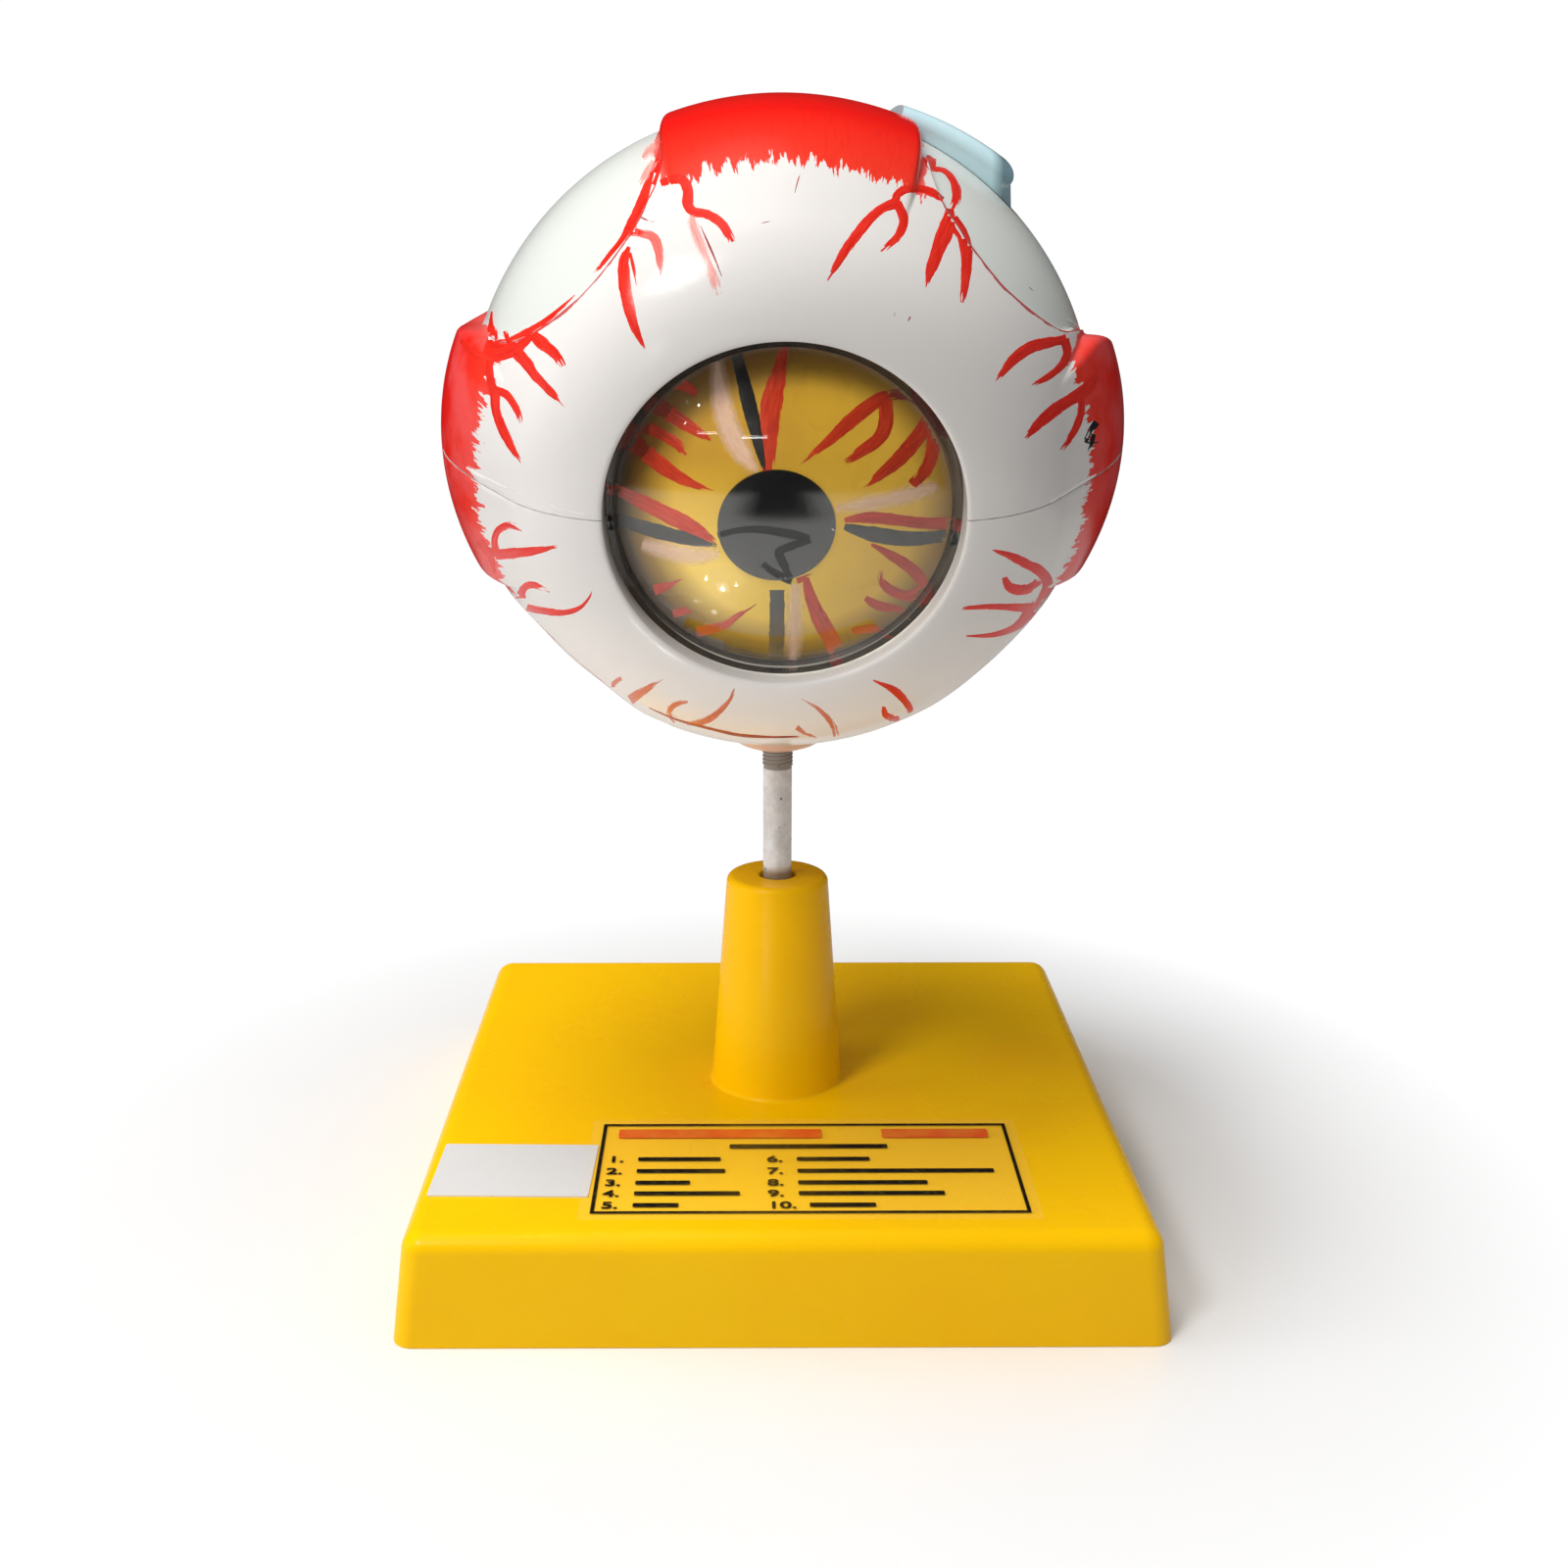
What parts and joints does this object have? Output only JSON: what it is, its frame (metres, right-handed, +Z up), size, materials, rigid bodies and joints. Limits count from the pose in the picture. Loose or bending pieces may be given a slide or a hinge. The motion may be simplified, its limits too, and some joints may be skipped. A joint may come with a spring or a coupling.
{
  "type": "eye anatomy model",
  "caption": "Enlarged take-apart eye on a square stand: split white shell with raised muscles, domed cornea, iris, pupil, lens, vitreous ball, retina cups and nerve stub.",
  "frame": {"origin": "middle of the underside of the square base", "axes": "+Z up, front of the eye towards -Y, +X to the viewer's right when facing the pupil"},
  "size_m": [0.15, 0.15, 0.2346],
  "materials": {
    "stand_plastic": "glossy moulded yellow plastic",
    "card_film": "clear framed sticker",
    "label_paper": "white coated paper sticker",
    "rod_metal": "dull drawn bar",
    "sclera_plastic": "painted white plastic shell",
    "oblique_paint": "pale blue gloss paint",
    "peg_plastic": "plain moulded plastic",
    "retina_plastic": "painted orange plastic",
    "ciliary_plastic": "painted dark red plastic",
    "clear_plastic": "clear moulded acrylic",
    "iris_plastic": "ochre painted plastic dome",
    "pupil_plastic": "gloss black plastic",
    "lens_plastic": "clear cast acrylic",
    "vitreous_plastic": "clear blown plastic",
    "disc_plastic": "pale yellow plastic",
    "nerve_plastic": "yellow painted plastic",
    "sheath_plastic": "cream painted plastic"
  },
  "bodies": {
    "stand": {"base_shell": "stand_plastic", "key_card": "card_film", "blank_label": "label_paper"},
    "stem": {"stem_rod": "rod_metal"},
    "eye_lower": {"sclera_lower": "sclera_plastic", "stem_nut": "rod_metal", "nut_washer": "rod_metal", "locating_peg_left": "peg_plastic", "locating_peg_right": "peg_plastic", "retina_lower": "retina_plastic", "ciliary_ring_lower": "ciliary_plastic", "optic_disc": "disc_plastic", "optic_nerve": "nerve_plastic", "nerve_sheath": "sheath_plastic"},
    "eye_upper": {"sclera_upper": "sclera_plastic", "oblique_muscle": "oblique_paint", "retina_upper": "retina_plastic", "ciliary_ring_upper": "ciliary_plastic"},
    "cornea": {"cornea": "clear_plastic"},
    "iris": {"iris": "iris_plastic", "pupil_disc": "pupil_plastic"},
    "lens": {"lens": "lens_plastic"},
    "vitreous": {"vitreous_humour": "vitreous_plastic"}
  },
  "joints": [
    {"name": "stem_lift", "type": "slide", "parent": "stand", "child": "stem", "axis": [0, 0, 1], "range_m": [0, 0.06]},
    {"name": "eye_swivel", "type": "hinge", "parent": "stem", "child": "eye_lower", "pos_m": [0, 0, 0.1], "axis": [0, 0, 1], "continuous": true},
    {"name": "upper_half_lift", "type": "slide", "parent": "eye_lower", "child": "eye_upper", "axis": [0, -0.2538, 0.9673], "range_m": [0, 0.16]},
    {"name": "cornea_lift", "type": "slide", "parent": "eye_lower", "child": "cornea", "axis": [0, -0.2538, 0.9673], "range_m": [0, 0.1]},
    {"name": "iris_lift", "type": "slide", "parent": "eye_lower", "child": "iris", "axis": [0, -0.2538, 0.9673], "range_m": [0, 0.1]},
    {"name": "lens_lift", "type": "slide", "parent": "eye_lower", "child": "lens", "axis": [0, -0.2538, 0.9673], "range_m": [0, 0.08]},
    {"name": "vitreous_lift", "type": "slide", "parent": "eye_lower", "child": "vitreous", "axis": [0, -0.2538, 0.9673], "range_m": [0, 0.056]}
  ],
  "couplings": [
    {"joint": "cornea_lift", "follows": "upper_half_lift", "ratio": 0.62},
    {"joint": "iris_lift", "follows": "upper_half_lift", "ratio": 0.62},
    {"joint": "lens_lift", "follows": "upper_half_lift", "ratio": 0.48},
    {"joint": "vitreous_lift", "follows": "upper_half_lift", "ratio": 0.345}
  ]
}
